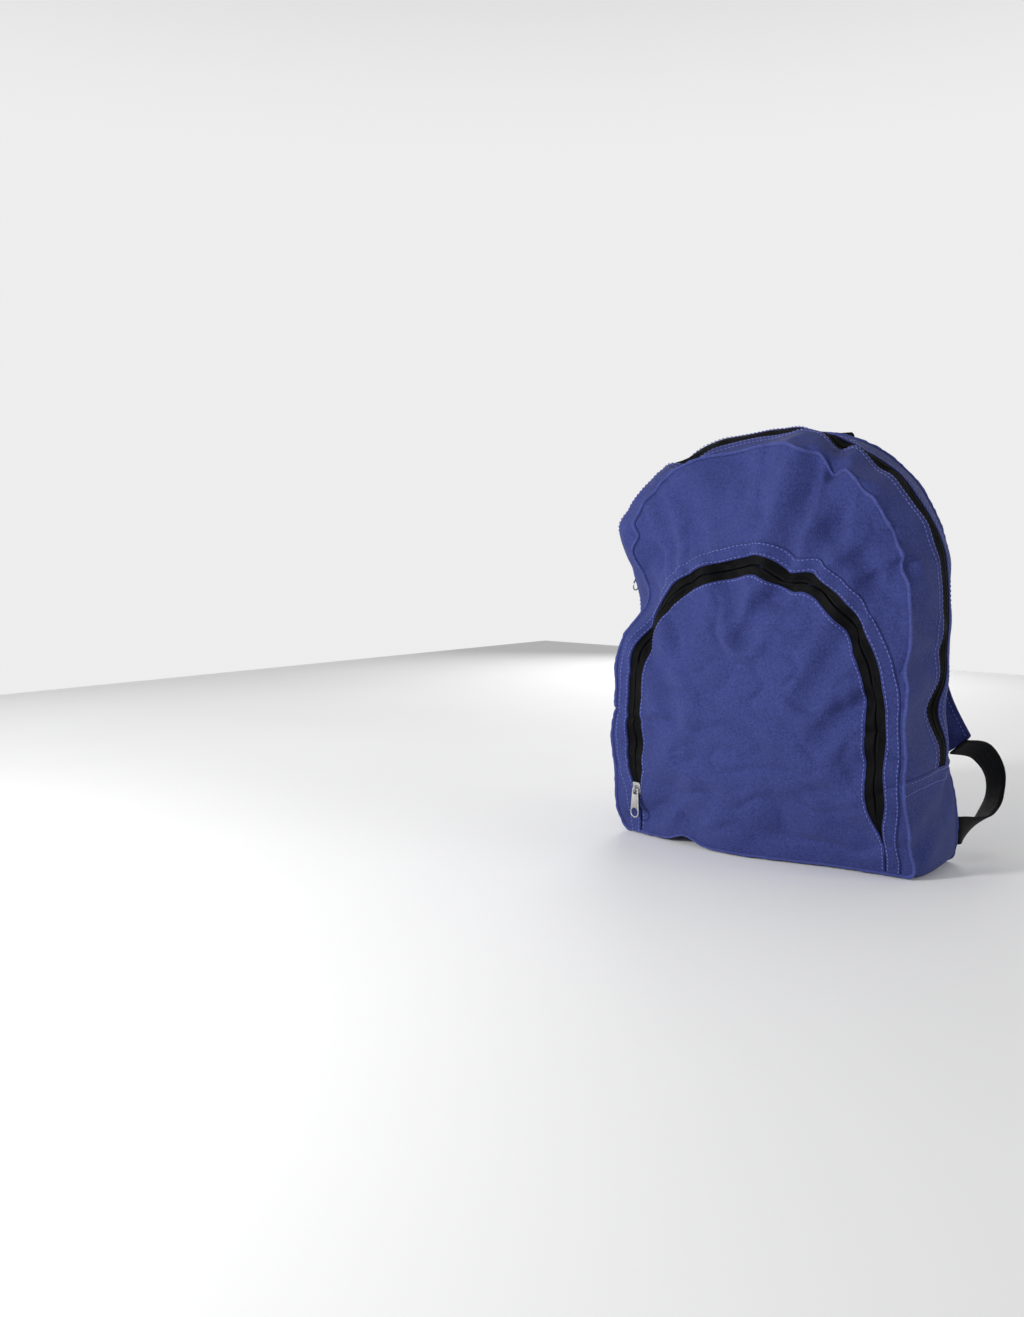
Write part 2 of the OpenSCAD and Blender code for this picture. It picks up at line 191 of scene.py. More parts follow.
# folds of the stuffed cloth: start, end, push direction, reach and depth
FOLDS = [
    # broad hollows: the left shoulder, the upper right corner, and the right side above its foot
    ((-138, -50, 232), (-112, -45, 308), (0.78, 0.62, 0), 31, 22),
    ((-146, -14, 282), (-116, -10, 344), (-0.78, -0.62, 0), 38, 12),
    ((-144, -46, 40), (-146, -48, 110), (-0.75, -0.66, 0), 30, 9),
    ((62, -48, 352), (70, -56, 300), (0, 1, -0.4), 20, 13),
    ((118, -48, 300), (128, -50, 250), (-0.5, 0.8, 0), 24, 9),
    ((152, 0, 138), (146, -25, 132), (-1, 0.1, 0), 17, 10),
    ((-140, 2, 300), (-100, 2, 350), (-0.35, -0.94, 0), 40, 22),
    # kinks of the front seam
    ((-112, -42, 330), (-90, -52, 296), (0.7, 0.7, -0.3), 7, 8),
    ((-134, -42, 286), (-112, -50, 262), (0.9, 0.5, 0), 7, 8),
    ((44, -38, 362), (50, -54, 330), (0.1, 1, -0.7), 6, 8),
    ((66, -38, 356), (62, -54, 312), (-0.3, 0.9, -0.9), 8, 14),
    ((98, -38, 330), (94, -52, 302), (-0.5, 1, -0.5), 7, 8),
    ((136, -40, 262), (122, -52, 246), (-0.8, 0.5, 0), 7, 6),
    # soft folds of the upper front
    ((46, -45, 346), (30, -60, 272), (0.4, 1, 0), 10, 18),
    ((84, -48, 330), (62, -60, 262), (0.3, 1, 0), 9, 16),
    ((124, -46, 290), (84, -56, 256), (-0.2, 1, 0.2), 7, 9),
    ((112, -46, 252), (104, -56, 232), (0, 1, 0.5), 6, 6),
    ((-30, -50, 340), (-48, -62, 292), (0, 1, 0), 20, 5),
    ((-72, -52, 322), (-60, -60, 284), (0, 1, 0), 12, 5),
    ((-104, -50, 306), (-82, -58, 258), (0.5, 1, 0), 7, 10),
    ((104, -52, 262), (118, -50, 226), (-0.3, 1, 0), 9, 5),
    ((8, -52, 350), (0, -62, 306), (0, 1, 0), 14, 3.5),
    # the dip in the pocket zip, and the folds below it
    ((40, -64, 266), (34, -67, 240), (0, 0.4, -0.9), 15, 13),
    ((30, -64, 242), (2, -67, 200), (0, 1, 0.3), 8, 11),
    ((-24, -64, 258), (0, -67, 200), (0, 1, 0), 9, 9),
    ((-58, -62, 244), (-66, -65, 200), (0, 1, 0), 11, 5),
    ((96, -60, 216), (62, -66, 150), (0, 1, 0), 9, 9),
    ((106, -58, 150), (70, -65, 112), (-0.2, 1, 0), 8, 8),
    ((-112, -55, 196), (-70, -65, 128), (0, 1, 0), 11, 9),
    ((-114, -52, 92), (-80, -62, 112), (0, 1, 0), 12, 6),
    ((108, -54, 96), (80, -62, 70), (0, 1, 0), 10, 6),
    ((104, -52, 36), (66, -60, 60), (0, 1, 0), 12, 6),
    ((-64, -48, 8), (-36, -60, 50), (0, 1, 0), 12, 7),
    ((-112, -48, 18), (-72, -58, 50), (0, 1, 0), 13, 7),
    ((20, -50, 8), (38, -60, 44), (0, 1, 0), 14, 5),
    # the gusset
    ((142, -36, 214), (149, -14, 208), (-1, 0, 0), 7, 5),
    ((143, -40, 180), (149, -10, 188), (-1, 0, 0), 10, 3.5),
    ((138, -38, 290), (146, -12, 284), (-1, 0.1, -0.3), 11, 5),
    ((56, 2, 372), (64, -34, 350), (0, 0.2, -1), 8, 9),
    ((96, -4, 352), (92, -34, 338), (-0.3, 0, -1), 10, 5),
    ((-82, -13, 364), (4, -15, 376), (0, -0.2, -1), 13, 11),
    ((-82, 19, 364), (4, 19, 378), (0, 0, 1), 10, 5),
    ((-84, 0, 362), (-80, -30, 342), (0.3, 0, -1), 12, 4),
    ((-150, 0, 172), (-142, -38, 180), (1, 0, 0), 14, 5),
    ((146, 30, 72), (140, -40, 26), (-1, 0, 0), 10, 5),
    ((-146, 30, 66), (-140, -40, 30), (1, 0, 0), 12, 4),
    ((150, 34, 240), (134, 56, 250), (-1, 0, 0), 14, 3),
    ((-150, 34, 200), (-134, 56, 190), (1, 0, 0), 14, 3),
    # the back
    ((-40, 58, 118), (46, 58, 128), (0, -1, 0), 16, 3),
    ((-60, 58, 244), (40, 58, 232), (0, -1, 0), 20, 3),
    ((112, 58, 52), (76, 58, 112), (0, -1, 0), 14, 3),
    ((-112, 58, 40), (-76, 58, 84), (0, -1, 0), 14, 3),
]
FOLDS = [(Vector(a), Vector(b), Vector(d).normalized(), r, depth) for a, b, d, r, depth in FOLDS]


def near_segment(p, a, b):
    d = b - a
    t = min(max((p - a).dot(d) / d.length_squared, 0), 1)
    return (p - a - d * t).length, t


def calm(p):
    """0 close to a slider, where the zip is pulled flat, and 1 away from them all."""
    share = 1
    for spot in SLIDER_SPOTS:
        share *= 1 - math.exp(-(((p - spot).length / 24) ** 2))
    return share


# the size of each kind of unevenness across the cloth, and how far it moves it, in millimetres
SAG_SIZE, SAG = 85, 3.2
DIMPLE_SIZE, DIMPLE = 34, 1.5
CREASE_SIZE, CREASE, CREASE_FROM = (42, 60, 30), 3.0, 0.6
TUCK_BACK, TUCK_UP = 20, 7


def settle(p):
    """Where a point of the even shape ends up on the stuffed bag, with its sags and folds."""
    # the sewn foot and the padded back move less than the rest
    free = smooth((p.z - 1) / 24) * calm(p) * mix(1, 0.4, smooth((p.y - 30) / 25))
    # the front's foot is drawn in towards the right corner, and up in one notch on the left
    low = 1 - smooth(p.z / 80)
    fore = smooth(-p.y / 45)
    tuck = Vector((0, TUCK_BACK * low * fore * smooth((p.x + 30) / 120), 0))
    tuck.z = TUCK_UP * math.exp(-(((p.x + 64) / 15) ** 2)) * low * smooth((-p.y - 20) / 25)
    moved = noise.noise_vector(p / SAG_SIZE + Vector((3.1, 7.7, 1.3))) * SAG
    moved += noise.noise_vector(p / DIMPLE_SIZE + Vector((11.2, 0.4, 5.9))) * DIMPLE
    spot = Vector([v / size for v, size in zip(p, CREASE_SIZE)]) + Vector((2.7, 9.1, 4.2))
    crease = max(1 - abs(noise.noise(spot)) - CREASE_FROM, 0) / (1 - CREASE_FROM)
    moved += Vector((-0.3 * math.copysign(1, p.x), 1, 0)) * CREASE * crease ** 2
    for a, b, push, reach, depth in FOLDS:
        far, t = near_segment(p, a, b)
        if far < 3 * reach:
            moved += push * depth * (1 - 0.6 * t) * math.exp(-((far / reach) ** 2))
            # the cloth stands up in a soft ridge beside each fold
            if far > reach:
                moved -= push * depth * 0.18 * sin(pi * (far - reach) / (2 * reach))
    return p + moved * free + tuck


# --- making meshes -------------------------------------------------------------------------


def make_mesh(name, points, faces, uvs=None, material=None):
    """An object from points in millimetres, faces, and a uv in metres for each point."""
    mesh = bpy.data.meshes.new(name)
    mesh.from_pydata([p * MM for p in points], [], faces)
    mesh.validate()
    if uvs:
        layer = mesh.uv_layers.new(name="UVMap")
        for loop in mesh.loops:
            layer.data[loop.index].uv = uvs[loop.vertex_index]
    mesh.polygons.foreach_set("use_smooth", [True] * len(mesh.polygons))
    obj = bpy.data.objects.new(name, mesh)
    bpy.context.scene.collection.objects.link(obj)
    if material:
        mesh.materials.append(material)
    return obj


def apply_modifiers(obj):
    depsgraph = bpy.context.evaluated_depsgraph_get()
    mesh = bpy.data.meshes.new_from_object(obj.evaluated_get(depsgraph), depsgraph=depsgraph)
    mesh.name = obj.name
    obj.modifiers.clear()
    obj.data = mesh
    return obj


def add_modifier(obj, kind, **values):
    modifier = obj.modifiers.new(kind, kind)
    for key, value in values.items():
        setattr(modifier, key, value)
    return obj


def attach(obj, slot, nodes, body, other=None, across=()):
    """Lets a piece ride on a body, or fixes it where it stands when it lies between two, and hides the
    CAD nodes it stands for.
    """
    if other:
        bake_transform(obj)
    else:
        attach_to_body(obj, body)
    if nodes:
        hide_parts(*nodes)


def grid_normals(grid):
    """The unit normal at each point of a grid, by its neighbours."""
    rows, cols = len(grid), len(grid[0])
    normals = []
    for i in range(rows):
        line = []
        for j in range(cols):
            a = grid[min(i + 1, rows - 1)][j] - grid[max(i - 1, 0)][j]
            b = grid[i][min(j + 1, cols - 1)] - grid[i][max(j - 1, 0)]
            n = a.cross(b)
            line.append(n.normalized() if n.length > 1e-9 else Vector((0, -1, 0)))
        normals.append(line)
    return normals


def panel(
    name, point, rows, cols, material,
    lift=0.0, relief=None, thick=CLOTH_T, flip=False, level=1, weld=False,
):
    """A cloth panel: point(a, b) for a and b from 0 to 1, settled, lifted and given its relief."""
    grid = [[settle(point(i / rows, j / cols)) for j in range(cols + 1)] for i in range(rows + 1)]
    normals = grid_normals(grid)
    facing = -1 if flip else 1
    points, uvs = [], []
    run = 0.0
    for i in range(rows + 1):
        if i:
            run += max((grid[i][j] - grid[i - 1][j]).length for j in (0, cols // 2, cols))
        across = 0.0
        for j in range(cols + 1):
            if j:
                across += (grid[i][j] - grid[i][j - 1]).length
            rise = lift + (relief(i / rows, j / cols, grid[i][j]) if relief else 0)
            points.append(grid[i][j] + normals[i][j] * facing * rise)
            uvs.append((run * MM, across * MM))
    wide = cols + 1
    faces = []
    for i in range(rows):
        for j in range(cols):
            f = (i * wide + j, (i + 1) * wide + j, (i + 1) * wide + j + 1, i * wide + j + 1)
            faces.append(f[::-1] if flip else f)
    obj = make_mesh(name, points, faces, uvs, material)
    if weld:
        add_modifier(obj, "WELD", merge_threshold=0.0004)
    add_modifier(obj, "SOLIDIFY", thickness=thick * MM, offset=-1, use_even_offset=False)
    if level:
        add_modifier(obj, "SUBSURF", levels=level, render_levels=level)
    return apply_modifiers(obj)


def tangent(line, i):
    """The direction of an open line at one of its points."""
    return (line[min(i + 1, len(line) - 1)] - line[max(i - 1, 0)]).normalized()


def sweep(name, line, ups, profile, material):
    """A closed profile of (across, up) pairs swept along a line, with both ends closed."""
    n = len(profile)
    points, uvs, run = [], [], 0.0
    girth = [0.0]
    for k in range(n - 1):
        girth.append(girth[-1] + math.dist(profile[k], profile[k + 1]))
    for i in range(len(line)):
        t = tangent(line, i)
        across = t.cross(ups[i]).normalized()
        up = across.cross(t)
        if i:
            run += (line[i] - line[i - 1]).length
        for k, (a, b) in enumerate(profile):
            points.append(line[i] + across * a + up * b)
            uvs.append((run * MM, girth[k] * MM))
    faces = []
    for i in range(len(line) - 1):
        for k in range(n):
            m = (k + 1) % n
            faces.append((i * n + k, i * n + m, (i + 1) * n + m, (i + 1) * n + k))
    faces.append(tuple(range(n))[::-1])
    faces.append(tuple(range((len(line) - 1) * n, len(line) * n)))
    return make_mesh(name, points, faces, uvs, material)


def oval(a, b, n):
    return [(a * cos(2 * pi * k / n), b * sin(2 * pi * k / n)) for k in range(n)]


def resample(line, step):
    """Points every step along a line, with the place of each as a share of the line's index."""
    made, left = [], 0.0
    for i in range(len(line) - 1):
        length = (line[i + 1] - line[i]).length
        while left <= length:
            t = left / length
            made.append((line[i].lerp(line[i + 1], t), i + t))
            left += step
        left -= length
    return made


def stitch_row(name, line, ups, material, pitch=4.0, length=2.8, radius=0.42):
    """A row of topstitching: one small rounded stitch after another, sunk into the cloth."""
    points, faces = [], []
    shape = ((-0.5, 0.0, -0.7), (-0.36, 0.75, 0.0), (0.0, 1.0, 0.35), (0.36, 0.75, 0.0), (0.5, 0.0, -0.7))
    sides = 6
    for p, place in resample(line, pitch):
        i = min(int(place), len(line) - 2)
        t = (line[i + 1] - line[i]).normalized()
        across = t.cross(ups[i]).normalized()
        up = across.cross(t)
        base = len(points)
        for along, wide, high in shape:
            for k in range(sides):
                a = 2 * pi * k / sides
                side = across * cos(a) * radius * 1.3 + up * sin(a) * radius
                points.append(p + t * along * length + side * max(wide, 0.25) + up * high * radius)
        for r in range(len(shape) - 1):
            for k in range(sides):
                m = (k + 1) % sides
                a, b = base + r * sides, base + (r + 1) * sides
                faces.append((a + k, b + k, b + m, a + m))
        faces.append(tuple(base + k for k in range(sides)))
        faces.append(tuple(base + (len(shape) - 1) * sides + k for k in range(sides))[::-1])
    return make_mesh(name, points, faces, None, material)

# --- materials -----------------------------------------------------------------------------


def linear(code):
    made = []
    for k in (1, 3, 5):
        c = int(code[k : k + 2], 16) / 255
        made.append(c / 12.92 if c <= 0.04045 else ((c + 0.055) / 1.055) ** 2.4)
    return (*made, 1)


class Nodes:
    """A material being made, with short calls for its nodes."""

    def __init__(self, name, roughness=0.5, metallic=0.0, specular=0.5):
        self.material = bpy.data.materials.new(name)
        self.material.use_nodes = True
        self.tree = self.material.node_tree
        self.shader = self.tree.nodes["Principled BSDF"]
        self.shader.inputs["Roughness"].default_value = roughness
        self.shader.inputs["Metallic"].default_value = metallic
        self.shader.inputs["Specular IOR Level"].default_value = specular

    def node(self, kind, inputs=None, **values):
        made = self.tree.nodes.new(kind)
        for key, value in values.items():
            setattr(made, key, value)
        for key, value in (inputs or {}).items():
            self.feed(made.inputs[key], value)
        return made

    def feed(self, socket, value):
        if isinstance(value, bpy.types.NodeSocket):
            self.tree.links.new(value, socket)
        else:
            socket.default_value = value

    def math(self, operation, a, b=0.0, c=0.0):
        made = self.node("ShaderNodeMath", operation=operation)
        for socket, value in zip(made.inputs, (a, b, c)):
            self.feed(socket, value)
        return made.outputs[0]

    def noise(self, vector, scale, detail=3.0, roughness=0.5):
        inputs = {"Vector": vector, "Scale": scale, "Detail": detail, "Roughness": roughness}
        return self.node("ShaderNodeTexNoise", inputs).outputs["Fac"]

    def ramp(self, value, low, high, to_low=0.0, to_high=1.0):
        inputs = {"Value": value, "From Min": low, "From Max": high, "To Min": to_low, "To Max": to_high}
        return self.node("ShaderNodeMapRange", inputs).outputs["Result"]

    def mix(self, factor, a, b):
        made = self.node("ShaderNodeMix", data_type="RGBA")
        self.feed(made.inputs[0], factor)
        self.feed(made.inputs[6], a)
        self.feed(made.inputs[7], b)
        return made.outputs[2]

    def place(self):
        return self.node("ShaderNodeTexCoord").outputs["Object"]

    def uv(self):
        split = self.node("ShaderNodeSeparateXYZ", {0: self.node("ShaderNodeUVMap").outputs[0]})
        return split.outputs[0], split.outputs[1]

    def bump(self, height, distance, strength=1.0):
        inputs = {"Height": height, "Distance": distance, "Strength": strength}
        made = self.node("ShaderNodeBump", inputs)
        old = self.shader.inputs["Normal"]
        if old.is_linked:
            self.feed(made.inputs["Normal"], old.links[0].from_socket)
        self.feed(old, made.outputs[0])

    def colour(self, value):
        self.feed(self.shader.inputs["Base Color"], value)

    def rough(self, value):
        self.feed(self.shader.inputs["Roughness"], value)


def weave_height(n, u, v, pitch):
    """A plain weave: warp and weft threads pass over each other in turn."""
    a = n.math("DIVIDE", u, pitch)
    b = n.math("DIVIDE", v, pitch)
    warp = n.math("ABSOLUTE", n.math("SINE", n.math("MULTIPLY", a, pi)))
    weft = n.math("ABSOLUTE", n.math("SINE", n.math("MULTIPLY", b, pi)))
    turn = n.math("ADD", n.math("FLOOR", a), n.math("FLOOR", b))
    odd = n.math("PINGPONG", turn, 1.0)
    over = n.math("MULTIPLY", warp, n.math("MULTIPLY_ADD", weft, 0.5, 0.5))
    under = n.math("MULTIPLY", weft, n.math("MULTIPLY_ADD", warp, 0.5, 0.5))
    first = n.math("MULTIPLY", over, odd)
    return n.math("MULTIPLY_ADD", under, n.math("SUBTRACT", 1.0, odd), first)


def cloth_material(name, light, dark, pitch=1.05, rough=0.7, sheen=0.05, depth=0.3):
    """Coated polyester: plain weave, fine creases, and soft mottling where it has worn and faded."""
    n = Nodes(name, rough, specular=0.14)
    n.shader.inputs["Sheen Weight"].default_value = sheen
    n.shader.inputs["Sheen Roughness"].default_value = 0.45
    u, v = n.uv()
    place = n.place()
    weave = weave_height(n, u, v, pitch * MM)
    mottle = n.noise(place, 22.0, 4.0, 0.6)
    creases = n.noise(place, 120.0, 5.0, 0.65)
    slub = n.noise(place, 520.0, 3.0, 0.6)
    shade = n.math("MULTIPLY_ADD", mottle, 0.4, 0.0)
    shade = n.math("MULTIPLY_ADD", weave, 0.55, shade)
    grain = n.noise(place, 900.0, 2.0, 0.7)
    shade = n.math("MULTIPLY_ADD", slub, 1.1, n.math("SUBTRACT", shade, 0.55))
    shade = n.math("MULTIPLY_ADD", grain, 1.3, n.math("SUBTRACT", shade, 0.63))
    n.colour(n.mix(shade, linear(dark), linear(light)))
    n.rough(n.ramp(mottle, 0.3, 0.7, rough - 0.06, rough + 0.08))
    n.bump(n.noise(place, 26.0, 3.0, 0.55), 0.003, 0.6)
    n.bump(creases, 0.001, 0.55)
    n.bump(weave, depth * MM, 0.8)
    return n.material


def webbing_material(name, light, dark, ribs=1.7):
    """Woven polyester webbing: a herringbone of fine diagonal ribs with a firm edge."""
    n = Nodes(name, 0.7, specular=0.12)
    n.shader.inputs["Sheen Weight"].default_value = 0.04
    u, v = n.uv()
    zigzag = n.math("PINGPONG", v, 3.1 * MM)
    slant = n.math("ADD", u, zigzag)
    rib = n.math("ABSOLUTE", n.math("SINE", n.math("MULTIPLY", slant, pi / (ribs * MM))))
    thread = n.math("ABSOLUTE", n.math("SINE", n.math("MULTIPLY", v, pi / (0.45 * MM))))
    height = n.math("MULTIPLY_ADD", thread, 0.3, rib)
    wear = n.noise(n.place(), 60.0, 4.0, 0.6)
    shade = n.math("MULTIPLY_ADD", wear, 0.5, n.math("MULTIPLY", height, 0.35))
    n.colour(n.mix(shade, linear(dark), linear(light)))
    n.rough(n.ramp(wear, 0.3, 0.7, 0.62, 0.8))
    n.bump(height, 0.25 * MM, 0.8)
    return n.material


def tape_material(name, light, dark):
    """Knitted zip tape: fine ribs along the tape, a little shiny where sliders have run."""
    n = Nodes(name, 0.7, specular=0.1)
    u, v = n.uv()
    rib = n.math("ABSOLUTE", n.math("SINE", n.math("MULTIPLY", v, pi / (0.9 * MM))))
    loop = n.math("ABSOLUTE", n.math("SINE", n.math("MULTIPLY", u, pi / (0.7 * MM))))
    height = n.math("MULTIPLY_ADD", loop, 0.4, rib)
    wear = n.noise(n.place(), 80.0, 4.0, 0.6)
    shade = n.math("MULTIPLY_ADD", wear, 0.5, n.math("MULTIPLY", height, 0.2))
    n.colour(n.mix(shade, linear(dark), linear(light)))
    n.rough(n.ramp(wear, 0.3, 0.7, 0.55, 0.8))
    n.bump(height, 0.16 * MM, 0.8)
    return n.material


def thread_material(name, light, dark):
    """Twisted polyester thread."""
    n = Nodes(name, 0.45, specular=0.5)
    place = n.place()
    twist = n.noise(place, 1800.0, 2.0, 0.5)
    shade = n.math("MULTIPLY_ADD", n.noise(place, 40.0), 0.6, n.math("MULTIPLY", twist, 0.4))
    n.colour(n.mix(shade, linear(dark), linear(light)))
    n.rough(n.ramp(twist, 0.3, 0.7, 0.38, 0.55))
    n.bump(twist, 0.12 * MM, 0.7)
    return n.material


def nickel_material(name):
    """Plated zinc: bright with fine scratches and duller worn patches."""
    n = Nodes(name, 0.25, metallic=1.0)
    place = n.place()
    worn = n.noise(place, 140.0, 5.0, 0.65)
    stretch = n.node("ShaderNodeMapping", {"Vector": place, "Scale": (900.0, 900.0, 60.0)})
    scratch = n.noise(stretch.outputs[0], 1.0, 4.0, 0.6)
    n.colour(n.mix(worn, linear("#8f8f8c"), linear("#dededb")))
    n.rough(n.math("ADD", n.ramp(worn, 0.35, 0.7, 0.2, 0.42), n.math("MULTIPLY", scratch, 0.08)))
    n.bump(scratch, 0.02 * MM, 0.5)
    n.bump(worn, 0.08 * MM, 0.4)
    return n.material


def foam_material(name):
    """Open-cell foam, inside the padding."""
    n = Nodes(name, 0.95, specular=0.2)
    cells = n.node("ShaderNodeTexVoronoi", {"Vector": n.place(), "Scale": 700.0})
    depth = cells.outputs["Distance"]
    n.colour(n.mix(depth, linear("#f0ece0"), linear("#c8c0a8")))
    n.bump(depth, 0.5 * MM, 0.8)
    return n.material


def floor_material(name):
    n = Nodes(name, 0.7, specular=0.2)
    n.colour(n.mix(n.noise(n.place(), 3.0), linear("#f4f4f4"), linear("#fafafa")))
    return n.material


BLUE = cloth_material("blue_cloth", "#404a88", "#1f275a")
BLUE_BACK = cloth_material("blue_cloth_padded", "#3d4784", "#1e2657")
# the seam's raised lip is the panels' own cloth; its lighter colours are a painted highlight where the
# lip catches the light
LIP_BLUE_PAINTED_HIGHLIGHT = cloth_material("blue_seam_painted_highlight", "#4c5698", "#2c346c")
LINING = cloth_material("lining_cloth", "#2b3a78", "#1d2858", pitch=0.5, rough=0.6, sheen=0.1, depth=0.08)
THREAD = thread_material("blue_thread", "#6771bd", "#454f98")
TAPE = tape_material("zip_tape", "#0a0b0d", "#030304")
COIL = thread_material("zip_coil", "#17181c", "#08090b")
BINDING = tape_material("binding_tape", "#17181c", "#0a0b0d")
WEBBING = webbing_material("black_webbing", "#0f1013", "#040405")
NICKEL = nickel_material("nickel")
FOAM = foam_material("foam")

# --- camera, light and floor ---------------------------------------------------------------

bpy.ops.object.camera_add(location=(0.4974, -0.9333, 0.2791))
camera = bpy.context.object
camera.data.lens = 30.97
camera.data.sensor_width = 36.0
camera.rotation_euler = (math.radians(90 - 5.77), 0, math.radians(41.3))
camera.data.clip_start = 0.01
bpy.context.scene.camera = camera


def area_light(name, place, aim, size, energy):
    light = bpy.data.lights.new(name, "AREA")
    light.shape = "DISK"
    light.size = size
    light.energy = energy
    obj = bpy.data.objects.new(name, light)
    obj.location = place
    obj.rotation_euler = (Vector(aim) - Vector(place)).to_track_quat("-Z", "Y").to_euler()
    bpy.context.scene.collection.objects.link(obj)


AIM = (0, 0, 0.2)
area_light("front_light", (-0.6, -1.4, 0.6), AIM, 0.25, 17.5)
area_light("left_light", (-1.5, -0.3, 0.7), AIM, 0.8, 2)
area_light("top_light", (0.0, 0.6, 1.7), AIM, 0.9, 2)
area_light("right_light", (1.5, 0.4, 0.8), AIM, 0.6, 3)
area_light("back_light", (-0.9, 1.4, 0.7), AIM, 0.9, 8)

world = bpy.data.worlds.new("studio")
world.use_nodes = True
sky = world.node_tree.nodes
height = sky.new("ShaderNodeSeparateXYZ")
band = sky.new("ShaderNodeMapRange")
band.interpolation_type = "SMOOTHSTEP"
for key, value in {"From Min": 0.3, "From Max": 0.75, "To Min": 0.85, "To Max": 0.22}.items():
    band.inputs[key].default_value = value
world.node_tree.links.new(sky.new("ShaderNodeTexCoord").outputs["Generated"], height.inputs[0])
world.node_tree.links.new(height.outputs["Z"], band.inputs["Value"])
world.node_tree.links.new(band.outputs["Result"], sky["Background"].inputs["Strength"])
sky["Background"].inputs["Color"].default_value = (1, 1, 1, 1)
bpy.context.scene.world = world
bpy.context.scene.view_settings.view_transform = "Standard"

bpy.ops.mesh.primitive_plane_add(size=3.2, location=(0, 0, -0.0005))
floor = bpy.context.object
floor.name = "floor"
floor.data.materials.append(floor_material("pale_floor"))

# --- lines and surfaces of the cloth shell -------------------------------------------------


def u_at_height(z):
    """The arch parameter of the left leg at a height of the main zip's line."""
    spring = TOP - ZIP_DROP - HALF_W
    return TURN + (LEG - TURN) * (z - CORNER) / (spring - CORNER)


GUSSET_U = u_at_height(ZIP_END)
POCKET_U = LEG * (POCKET_END - 4) / (DOME.z - 2)


def wall_at(u, d):
    """A point of the gusset at a distance d from the main zip's middle, forward if negative."""
    edge = front_seam(u) if d < 0 else rear_seam(u)
    return wall(u, d / (edge - main_line(u)).length)


def gusset_point(side):
    """The gusset's surface between the zip (b 0) and the front (side -1) or rear (side 1) seam (b 1)."""

    def point(u, b):
        edge = front_seam(u) if side < 0 else rear_seam(u)
        q = ZIP_HALF / (edge - main_line(u)).length
        return wall(u, side * mix(q, 1, b))

    return point


def ring_point(d, u):
    """A point of the front at a distance d outside the pocket zip's middle line."""
    p = arch(POCKET_R + d, DOME.z + POCKET_R + d, 2, u)
    near = min(max(d, -ZIP_HALF), ZIP_HALF)
    taper = mix(0.03, 1, smooth((p.z - POCKET_END + 6) / 42))
    if u < LEG or u > 1 - LEG:
        p.x = math.copysign(POCKET_R + near * taper + d - near, p.x)
    return on_dome(p)


def front_point(a, u):
    """A point of the front panel, from the pocket zip's edge (a 0) to the front seam (a 1)."""
    return on_dome(ring_point(ZIP_HALF, u).lerp(front_seam(u), a))


def pocket_point(a, u):
    """A point of the pocket's panel, from its slightly uneven edge (a 0) to its middle line (a 1)."""
    edge = ring_point(-ZIP_HALF + 0.8 * noise.noise(Vector((u * EDGE_WAVES, 0.5, 0.5))), u)
    core = Vector((0, 0, min(edge.z, DOME.z)))
    return on_dome(edge.lerp(core, a))


def pocket_inner_point(a, u):
    """A point of the pocket's lining, from behind the facing (a 0) to its middle line (a 1)."""
    edge = ring_point(ZIP_HALF + LINING_UNDER, u)
    core = Vector((0, 0, min(edge.z, DOME.z)))
    return on_dome(edge.lerp(core, a))


def back_point(a, u):
    """A point of the back, from the rear seam (a 0) to its middle line (a 1), padded a little."""
    edge = rear_seam(u)
    core = Vector((0, 0, min(edge.z, TOP - 2 - HALF_W)))
    p = edge.lerp(core, a)
    return Vector((p.x, BACK_Y - BACK_IN + BACK_PAD * smooth(a * 8), p.z))


def base_point(a, b):
    """A point of the base, from its left end (a 0) to its right, and from the front (b 0) to the back."""
    q = 2 * b - 1
    near = main_line(0).lerp(front_seam(0) if q < 0 else rear_seam(0), abs(q))
    return Vector((mix(near.x, -near.x, a), near.y, near.z))


SMALL_STEP = (2e-3, 2e-3)     # steps in (a, b) that a normal is worked out from
WALL_STEP = (2e-3, 0.8)       # the same where b is a distance in millimetres
RING_STEP = (0.8, 2e-3)       # the same where a is one


def trace(point, path, flip=False, lift=0.0, reach=SMALL_STEP):
    """The settled points of a surface along (a, b) pairs, and the surface's normals there."""
    line, ups = [], []
    for a, b in path:
        p = settle(point(a, b))
        n = (settle(point(a + reach[0], b)) - p).cross(settle(point(a, b + reach[1])) - p).normalized()
        n = -n if flip else n
        line.append(p + n * lift)
        ups.append(n)
    return line, ups


def span(low, high, count):
    return [mix(low, high, k / count) for k in range(count + 1)]


def flat_uv(obj, first, second):
    """Lays the weave straight along two axes, as on a panel cut flat."""
    layer = obj.data.uv_layers.active or obj.data.uv_layers.new(name="UVMap")
    for loop in obj.data.loops:
        co = obj.data.vertices[loop.vertex_index].co
        layer.data[loop.index].uv = (co[first], co[second])


# --- the cloth shell -----------------------------------------------------------------------


front_cloth = panel("front_cloth", front_point, 26, 270, BLUE, flip=True)
flat_uv(front_cloth, 0, 2)
pocket_cloth = panel("pocket_cloth", pocket_point, 36, 240, BLUE, weld=True)
flat_uv(pocket_cloth, 0, 2)
facing = panel(
    "pocket_facing_cloth",
    lambda a, u: ring_point(mix(ZIP_HALF, ZIP_HALF + FACING_W, a), u),
    4, 270, BLUE, lift=1.0, flip=True,
)
front_gusset_cloth = panel(
    "front_gusset_cloth",
    lambda a, b: gusset_point(-1)(mix(GUSSET_U - 0.004, 1 - GUSSET_U + 0.004, a), 1 - b),
    170, 12, BLUE,
)
rear_gusset_cloth = panel(
    "rear_gusset_cloth",
    lambda a, b: gusset_point(1)(mix(GUSSET_U - 0.004, 1 - GUSSET_U + 0.004, a), b),
    170, 10, BLUE,
)
base_cloth = panel("base_cloth", base_point, 60, 24, BLUE, flip=True)
